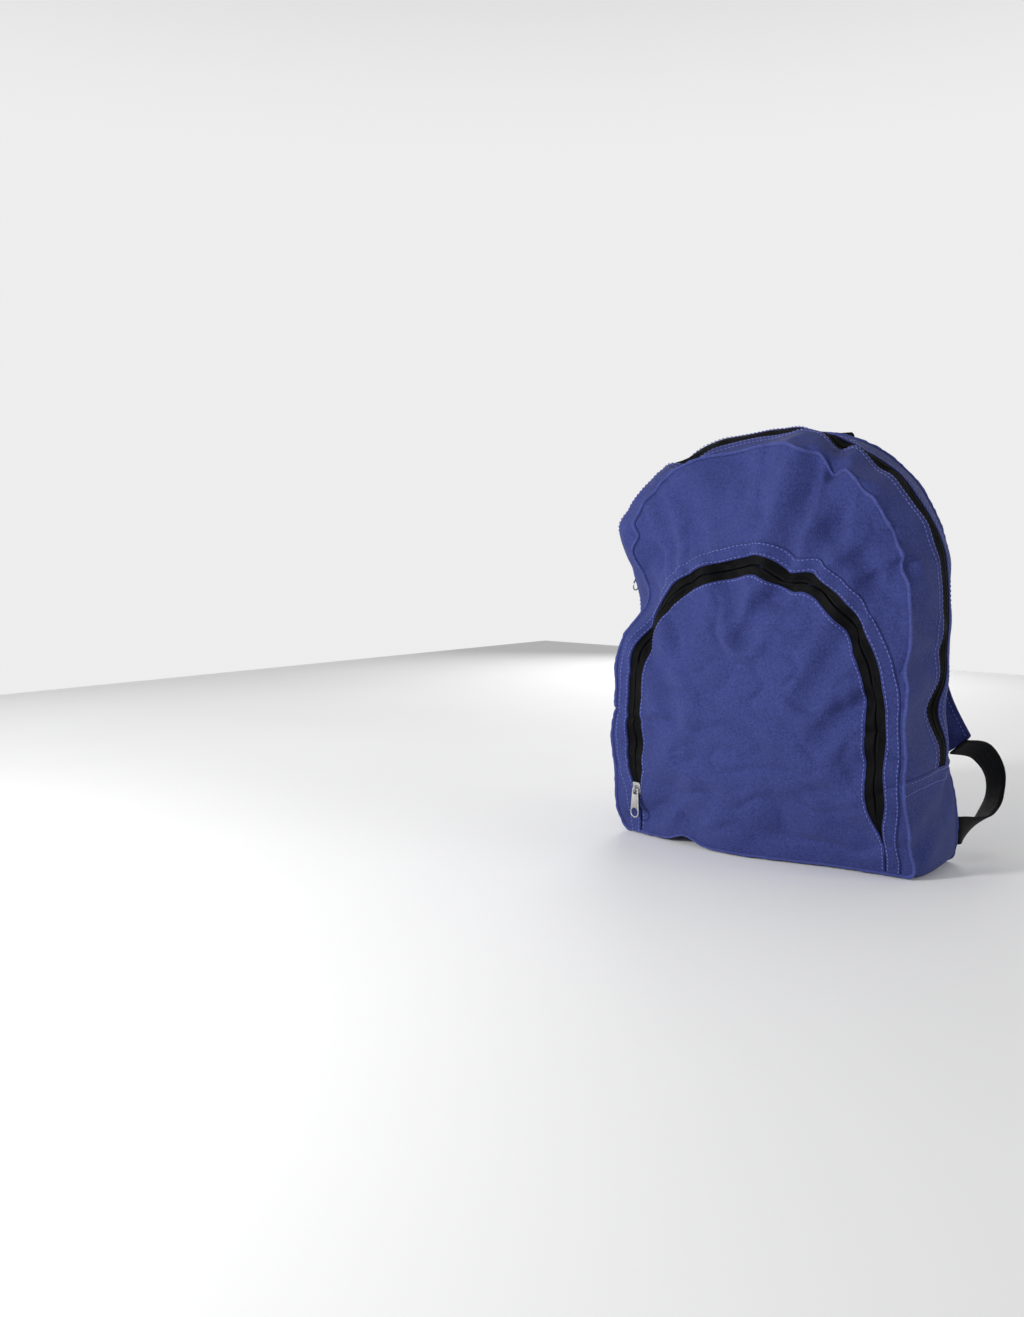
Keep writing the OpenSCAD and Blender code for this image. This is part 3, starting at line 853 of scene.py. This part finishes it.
back_cloth = panel("back_cloth", back_point, 24, 150, BLUE_BACK, flip=True, weld=True)
flat_uv(back_cloth, 0, 2)
side_cloths = {}
for name, low, high in (("left", 0, GUSSET_U + 0.008), ("right", 1 - GUSSET_U - 0.008, 1)):
    side_cloths[name] = panel(
        f"lower_side_cloth_{name}",
        lambda a, b, low=low, high=high: wall(mix(low, high, a), 2 * b - 1),
        24, 28, BLUE, lift=0.7,
    )

FLAP_BLEND = ((0, -0.06, 0.05), (0, -0.06, 0.08))     # the pocket's fold, over its hinge
SIDE_BLEND = ((0, 0.04, 0.04), (0, -0.04, 0.04))      # the foot of the bag, from rear to front

for obj, body, nodes in (
    (front_cloth, "front_shell", ["front_panel"]),
    (facing, "front_shell", ["pocket_facing"]),
    (front_gusset_cloth, "front_shell", ["front_gusset"]),
    (rear_gusset_cloth, "rear_shell", ["rear_gusset"]),
    (base_cloth, "rear_shell", ["base_panel"]),
    (back_cloth, "rear_shell", ["back_panel"]),
):
    attach(obj, "blue_cloth", nodes, body)
attach(
    pocket_cloth, "blue_cloth", ["pocket_panel", "pocket_panel_foot"],
    "front_shell", "pocket_flap", FLAP_BLEND,
)
for name, obj in side_cloths.items():
    attach(obj, None, [f"lower_side_{name}"], "rear_shell", "front_shell", SIDE_BLEND)

# --- zip tapes and coils -------------------------------------------------------------------


COIL_DEPTH = 2.6      # how far the coils lie behind the cloth


def tape(name, point, u0, u1, d0, d1):
    """Half of an inverted-coil zip: a flat tape whose inner edge rolls over the coil."""
    inner = d0 if abs(d0) < abs(d1) else d1

    def relief(a, b, p):
        d = abs(mix(d0, d1, b) - inner)
        return 0.55 * math.exp(-((d - 1.5) ** 2) / 2.2) - 0.5 * math.exp(-(d**2) / 0.12)

    return panel(
        name, lambda a, b: point(mix(u0, u1, a), mix(d0, d1, b)), 260, 12, TAPE,
        lift=-1.0, relief=relief, thick=0.6,
    )


def coil(name, point, u0, u1, d):
    """The coil behind a tape, as one flattened cord."""
    path = [(u, d) for u in span(u0, u1, 400)]
    line, ups = trace(point, path, lift=-COIL_DEPTH, reach=WALL_STEP)
    return sweep(name, line, ups, oval(1.2, 0.85, 8), COIL)


GAP = 0.22            # half the line where the two tapes meet
COIL_OUT = 1.7        # from that line to the middle of a coil


def ring(u, d):
    """The same point as ring_point, with its values in the order that wall_at has."""
    return ring_point(d, u)


ON_WALL = (wall_at, GUSSET_U - 0.002, 1 - GUSSET_U + 0.002)
ON_RING = (ring, POCKET_U, 1 - POCKET_U)
TAPE_W = ZIP_HALF + 0.6


ON_FLAP = ("front_shell", "pocket_flap", FLAP_BLEND)
for name, path, d0, d1, nodes, bodies in (
    ("front_zip_tape_cloth", ON_WALL, -TAPE_W, -GAP, ["front_zip_tape"], ["front_shell"]),
    ("rear_zip_tape_cloth", ON_WALL, GAP, TAPE_W, ["rear_zip_tape"], ["rear_shell"]),
    ("pocket_outer_tape_cloth", ON_RING, GAP, TAPE_W, ["pocket_tape_outer"], ["front_shell"]),
    (
        "pocket_inner_tape_cloth", ON_RING, -TAPE_W, -GAP,
        ["pocket_tape_inner", "pocket_tape_foot"], ON_FLAP,
    ),
):
    attach(tape(name, *path, d0, d1), "zip_tape", nodes, *bodies)

for name, path, d, nodes, bodies in (
    ("front_coil", ON_WALL, -COIL_OUT, ["main_coil_front"], ["front_shell"]),
    ("rear_coil", ON_WALL, COIL_OUT, ["main_coil_rear"], ["rear_shell"]),
    ("pocket_outer_coil", ON_RING, COIL_OUT, ["pocket_coil_outer"], ["front_shell"]),
    (
        "pocket_inner_coil", ON_RING, -COIL_OUT,
        ["pocket_coil_inner", "pocket_coil_foot"], ON_FLAP,
    ),
):
    attach(coil(name, *path, d), "zip_coil", nodes, *bodies)

# --- seams, bindings and linings -----------------------------------------------------------


def seam_loop(seam, y_share, count=300):
    """A seam's line right round the panel, with the direction its raised lip points in."""
    line, ups = [], []
    out_y = Vector((0, y_share, 0))
    raw = [seam(u) for u in span(0, 1, count)]
    start, end = raw[0], raw[-1]
    for i, p in enumerate(raw):
        t = (raw[min(i + 1, count)] - raw[max(i - 1, 0)]).normalized()
        line.append(settle(p))
        ups.append((t.cross(Vector((0, 1, 0))).normalized() * 0.8 + out_y).normalized())
    for k in range(1, 60):
        p = end.lerp(start, k / 60)
        p.y = dome_y(p.x, p.z) if y_share < 0 else p.y
        line.append(settle(Vector((p.x, p.y, 2.4))))
        ups.append(Vector((0, y_share, -0.25)).normalized())
    return line, ups


def ring_sweep(name, line, ups, profile, material, pucker=0.0):
    """A profile swept round a closed line, puckered a little by its stitches."""
    n, rings = len(profile), len(line)
    girth = [0.0]
    for k in range(n - 1):
        girth.append(girth[-1] + math.dist(profile[k], profile[k + 1]))
    points, uvs, run = [], [], 0.0
    for i in range(rings):
        t = (line[(i + 1) % rings] - line[i - 1]).normalized()
        across = t.cross(ups[i]).normalized()
        up = across.cross(t)
        run += (line[i] - line[i - 1]).length if i else 0
        s = 1 + pucker * noise.noise(line[i] / 5.5)
        for k, (a, b) in enumerate(profile):
            points.append(line[i] + across * a + up * b * s)
            uvs.append((run * MM, girth[k] * MM))
    faces = []
    for i in range(rings):
        for k in range(n):
            m, j = (k + 1) % n, (i + 1) % rings
            faces.append((i * n + k, i * n + m, j * n + m, j * n + k))
    return make_mesh(name, points, faces, uvs, material)


LIP = [(-1.1, -1.2), (-1.0, 0.6), (-0.7, 1.7), (0.0, 2.1), (0.7, 1.7), (1.0, 0.6), (1.1, -1.2)]
seams = {
    "front_seam_cloth": (front_seam, -0.6, "front_shell", "front_seam_lip"),
    "rear_seam_cloth": (rear_seam, 0.5, "rear_shell", "rear_seam_lip"),
}
for name, (seam, y_share, body, node) in seams.items():
    obj = ring_sweep(name, *seam_loop(seam, y_share), LIP, LIP_BLUE_PAINTED_HIGHLIGHT, pucker=0.5)
    attach(obj, "blue_cloth", [node], body)

bindings = {
    "front_binding_tape": (front_seam, -0.6, 7, "front_shell", "front_inner_binding"),
    "rear_binding_tape": (rear_seam, 0.5, -7, "rear_shell", "rear_inner_binding"),
}
for name, (seam, y_share, inwards, body, node) in bindings.items():
    line, ups = seam_loop(seam, y_share)
    line = [p - up * 7 + Vector((0, inwards * 0.5, 0)) for p, up in zip(line, ups)]
    line = [Vector((p.x, p.y, max(p.z, 6))) for p in line]
    obj = ring_sweep(name, line, ups, oval(0.8, 2.6, 8), BINDING)
    attach(obj, "binding", [node], body)

padding = panel(
    "back_padding", lambda a, u: back_point(mix(0.13, 1, a), u) - Vector((0, 2.4, 0)),
    12, 90, FOAM, flip=True, thick=5, level=0, weld=True,
)
attach(padding, "foam", ["back_foam"], "rear_shell")
back_inner = panel(
    "back_lining_cloth", lambda a, u: back_point(mix(0.05, 1, a), u) - Vector((0, 11, 0)),
    12, 90, LINING, flip=True, thick=0.8, level=0, weld=True,
)
flat_uv(back_inner, 0, 2)
attach(back_inner, "lining", ["back_lining"], "rear_shell")
pocket_inner = panel(
    "pocket_lining_cloth", pocket_inner_point, 20, 110, LINING, thick=0.8, level=0, weld=True,
    relief=lambda a, b, p: -5 - 13 * smooth(a * 3),
)
flat_uv(pocket_inner, 0, 2)
attach(pocket_inner, "lining", ["pocket_lining"], "front_shell")

# --- topstitching --------------------------------------------------------------------------


def stitches(name, point, path, bodies, flip=False, lift=0.15, reach=SMALL_STEP):
    """A row of topstitching along a path over a surface, on one body or across two."""
    line, ups = trace(point, path, flip, lift, reach)
    attach(stitch_row(name, line, ups, THREAD), "blue_cloth", [], *bodies)


EDGE_ROWS = (2.2, 7.2)        # how far the topstitch rows lie from a panel's edge
for k, d in enumerate(EDGE_ROWS):
    for side, body, part in ((-1, "front_shell", "front"), (1, "rear_shell", "rear")):
        path = [(u, side * (ZIP_HALF + d)) for u in span(*ON_WALL[1:], 420)]
        stitches(f"{part}_zip_stitches_{k + 1}", wall_at, path, [body], reach=WALL_STEP)
for k, d in enumerate((1.8, FACING_W - 1.8)):
    path = [(ZIP_HALF + d, u) for u in span(0.002, 0.998, 420)]
    stitches(f"facing_stitches_{k + 1}", ring_point, path, ["front_shell"], True, 1.15, RING_STEP)
path = [(-ZIP_HALF - 2.2, u) for u in span(0.002, 0.998, 400)]
stitches("pocket_edge_stitches", ring_point, path, ON_FLAP, True, 0.2, RING_STEP)
ACROSS_FOOT = ("rear_shell", "front_shell", SIDE_BLEND)
for side, part in enumerate(("left", "right")):
    for k, d in enumerate((0.003, 0.012)):
        u = GUSSET_U + 0.008 - d
        path = [(abs(side - u), q) for q in span(-0.97, 0.97, 90)]
        stitches(f"lower_side_stitches_{part}_{k + 1}", wall, path, ACROSS_FOOT, lift=0.85)

# --- straps --------------------------------------------------------------------------------

STRAP_W, STRAP_T, WEB_W, WEB_T = 58, 9, 25, 1.8

# the right strap's middle line, the direction across it, and its width as a share, as in the CAD
STRAP_ROUTE = [
    ((42.2, 61.2, 346), (1, 0, 0.25), 1), ((42, 80, 346), (1, 0, 0.25), 1),
    ((45, 97, 335), (1, 0, 0.26), 1), ((51, 110, 306), (1, 0, 0.26), 1),
    ((60, 115, 268), (1, 0, 0.27), 1), ((71, 112, 222), (1, 0, 0.3), 1),
    ((84, 104, 176), (1, 0.05, 0.4), 0.9), ((106, 97, 133), (1, 0.1, 0.62), 0.68),
    ((134, 93, 98), (1, 0.15, 0.75), 0.46),
]
WEB_ROUTE = [
    ((135.2, 92.8, 96.5), (0.72, -0.33, 0.61)), ((147, 110, 92), (0.75, -0.25, 0.61)),
    ((156, 122, 72), (0.85, -0.42, 0.32)), ((158, 118, 50), (0.8, -0.6, 0.1)),
    ((155, 100, 34), (0.8, -0.45, 0.4)), ((151, 80, 28), (0.5, -0.2, 0.85)),
    ((149, 62.5, 28), (0, 0, 1)), ((142.5, 59.5, 28), (0, 0, 1)),
]


def curve_through(values, steps):
    """Smooth values through the given ones, with the same number of steps between each pair."""
    made = []
    for i in range(len(values) - 1):
        a, b = values[max(i - 1, 0)], values[i]
        c, d = values[i + 1], values[min(i + 2, len(values) - 1)]
        for k in range(steps + (i == len(values) - 2)):
            t = k / steps
            made.append(
                0.5 * (2 * b + (c - a) * t + (2 * a - 5 * b + 4 * c - d) * t * t
                       + (3 * b - a - 3 * c + d) * t**3)
            )
    return made


def flip_x(v):
    return Vector((-v.x, v.y, v.z))


def ribbon(name, line, across, profiles, material, level=0):
    """Closed profiles of (across, up) pairs, one for each point of a line."""
    n = len(profiles[0])
    points, uvs, run = [], [], 0.0
    for i, p in enumerate(line):
        t = tangent(line, i)
        a = (across[i] - t * across[i].dot(t)).normalized()
        up = t.cross(a)
        run += (p - line[i - 1]).length if i else 0
        girth = 0.0
        for k, (x, y) in enumerate(profiles[i]):
            girth += math.dist(profiles[i][k], profiles[i][k - 1]) if k else 0
            points.append(p + a * x + up * y)
            uvs.append((run * MM, girth * MM))
    faces = []
    for i in range(len(line) - 1):
        for k in range(n):
            m = (k + 1) % n
            faces.append((i * n + k, i * n + n + k, i * n + n + m, i * n + m))
    faces.append(tuple(range(n)))
    faces.append(tuple(range((len(line) - 1) * n, len(line) * n))[::-1])
    obj = make_mesh(name, points, faces, uvs, material)
    if level:
        add_modifier(obj, "SUBSURF", levels=level, render_levels=level)
        apply_modifiers(obj)
    return obj


def padded_profile(width, thick, count=15, flange=4.5, edge=1.1):
    """A padded strap's section: foam in the middle and a flat stitched flange along each edge."""
    half = width / 2
    top = []
    for k in range(count):
        x = -half * cos(pi * k / (count - 1))
        rise = smooth((half - abs(x) - flange) / 7)
        top.append((x, edge + (thick / 2 - edge) * rise * (1 - 0.12 * (x / half) ** 2)))
    bottom = [(x, -y) for x, y in reversed(top)]
    return top + bottom


def strip_profile(width, thick, count=6):
    """A webbing's section: flat, with rounded edges."""
    half = width / 2
    top = [(mix(-half + 0.5, half - 0.5, k / (count - 1)), thick / 2) for k in range(count)]
    return [(-half, 0.0)] + top + [(half, 0.0)] + [(x, -y) for x, y in reversed(top)]


STEPS = 10
for side in ("right", "left"):
    turn = (lambda v: v) if side == "right" else flip_x
    line = [turn(p) for p in curve_through([Vector(p) for p, a, s in STRAP_ROUTE], STEPS)]
    across = [turn(p) for p in curve_through([Vector(a) for p, a, s in STRAP_ROUTE], STEPS)]
    widths = [STRAP_W * s for s in curve_through([s for p, a, s in STRAP_ROUTE], STEPS)]
    count = len(line)
    profiles = []
    for i, w in enumerate(widths):
        ends = smooth(i / 9) * smooth((count - 1 - i) / 7)
        thick = mix(3.2, STRAP_T, ends) * (1 + 0.05 * noise.noise(line[i] / 14))
        profiles.append(padded_profile(w, thick))
    cover = ribbon(f"strap_cloth_{side}", line, across, profiles, BLUE_BACK, level=1)
    swing = [tuple(turn(Vector(p))) for p in ((0.042, 0.066, 0.348), (0.044, 0.096, 0.345))]
    bodies = ("rear_shell", f"strap_{side}")
    attach(cover, "blue_cloth", [f"strap_cover_{side}", f"strap_sewn_end_{side}"], *bodies, swing)
    inner = slice(10, count - 8)
    cores = [padded_profile(w - 12, STRAP_T - 2.5, 11, 0, 0.8) for w in widths[inner]]
    core = ribbon(f"strap_padding_{side}", line[inner], across[inner], cores, FOAM)
    attach(core, "foam", [f"strap_foam_{side}"], f"strap_{side}")
    for k, edge in enumerate((-1, 1)):
        for face in (-1, 1):
            row, ups = [], []
            for i in range(2, count - 1):
                t = tangent(line, i)
                a = (across[i] - t * across[i].dot(t)).normalized()
                up = t.cross(a)
                row.append(line[i] + a * edge * (widths[i] / 2 - 4.2) + up * face * 1.25)
                ups.append(up * face)
            obj = stitch_row(f"strap_stitches_{side}_{k}_{(face + 1) // 2}", row, ups, THREAD)
            attach(obj, "blue_cloth", [], *bodies, swing)

    line = [turn(p) for p in curve_through([Vector(p) for p, a in WEB_ROUTE], STEPS)]
    across = [turn(p) for p in curve_through([Vector(a) for p, a in WEB_ROUTE], STEPS)]
    start = line[0] - (line[1] - line[0]).normalized() * 3
    line, across = [start] + line, [across[0]] + across
    web = ribbon(f"webbing_{side}", line, across, [strip_profile(WEB_W, WEB_T)] * len(line), WEBBING)
    low = [tuple(turn(Vector(p))) for p in ((0.149, 0.063, 0.028), (0.151, 0.088, 0.03))]
    attach(web, "black_webbing", [f"strap_webbing_{side}"], *bodies, low)


def on_back(x, z):
    """A point of the padded back's surface, before it settles."""
    return Vector((x, BACK_Y - BACK_IN + BACK_PAD, z))


def patch_point(a, b):
    """A point of the strap patch, from its left end (a 0) and its lower edge (b 0)."""
    return on_back(mix(-PATCH_HALF, PATCH_HALF, a), mix(PATCH_LOW, PATCH_HIGH, b))


patch = panel(
    "strap_patch_cloth", patch_point, 40, 10, BLUE_BACK, lift=1.3, flip=True, thick=1.2,
)
attach(patch, "blue_cloth", ["strap_patch"], "rear_shell")
for k, z in enumerate((323, 326.5, 350.5, 354)):
    path = [(a, (z - PATCH_LOW) / (PATCH_HIGH - PATCH_LOW)) for a in span(0.02, 0.98, 60)]
    stitches(f"patch_stitches_{k + 1}", patch_point, path, ["rear_shell"], flip=True, lift=1.45)

# --- haul loop -----------------------------------------------------------------------------

LOOP_Y, LOOP_Z = joint_mm("haul_loop_swing").y, joint_mm("haul_loop_swing").z
LOOP_HALF, LOOP_LEG, LOOP_SLOPE = 25, 12, math.radians(10)


def loop_frame(x, y, z):
    """A point of the loop's own plane, which slopes down to the rear."""
    return Vector((x, LOOP_Y + y * cos(LOOP_SLOPE) + z * sin(LOOP_SLOPE),
                   LOOP_Z - y * sin(LOOP_SLOPE) + z * cos(LOOP_SLOPE)))


line, across = [], []
for k in range(61):
    s = k / 60
    if s < 0.2 or s > 0.8:
        side = -1 if s < 0.5 else 1
        y = LOOP_LEG * (s if s < 0.5 else 1 - s) / 0.2
        x, radial = side * LOOP_HALF, Vector((side, 0, 0))
    else:
        a = pi * (s - 0.2) / 0.6
        x, y = -LOOP_HALF * cos(a), LOOP_LEG + LOOP_HALF * sin(a)
        radial = Vector((-cos(a), sin(a), 0))
    stand = smooth(sin(pi * s) * 1.35 - 0.25) * math.radians(56)
    flat = loop_frame(*radial) - loop_frame(0, 0, 0)
    rise = loop_frame(0, 0, 1) - loop_frame(0, 0, 0)
    line.append(loop_frame(x, y, -9 * sin(pi * s) ** 2))
    across.append(flat * cos(stand) - rise * sin(stand))
loop = ribbon("haul_loop_webbing", line, across, [strip_profile(WEB_W, WEB_T)] * len(line), WEBBING)
attach(loop, "black_webbing", ["haul_loop"], "haul_loop_body")

# --- sliders, bails and pullers ------------------------------------------------------------


def rounded_copy(node, bevel):
    """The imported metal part, with its edges rounded as a casting's are."""
    source = frame["nodes"][node]
    obj = bpy.data.objects.new(f"{node}_metal", source.data.copy())
    bpy.context.scene.collection.objects.link(obj)
    obj.data.materials.clear()
    obj.data.materials.append(NICKEL)
    add_modifier(obj, "WELD", merge_threshold=0.00002)
    add_modifier(
        obj, "BEVEL", width=bevel * MM, segments=3, limit_method="ANGLE", angle_limit=math.radians(40),
    )
    apply_modifiers(obj)
    obj.data.polygons.foreach_set("use_smooth", [True] * len(obj.data.polygons))
    obj.data.set_sharp_from_angle(angle=math.radians(50))
    attach(obj, "nickel", [node], body_name(node))


def body_name(node):
    bodies = frame["record"]["behaviour"]["bodies"]
    return next(body for body, nodes in bodies.items() if node in nodes)


for zip_name in ("upper", "lower", "pocket"):
    rounded_copy(f"{zip_name}_slider", 0.45)
    rounded_copy(f"{zip_name}_bail", 0.0)
    rounded_copy(f"{zip_name}_puller", 0.35)

# --- the end -------------------------------------------------------------------------------

bpy.context.view_layer.update()
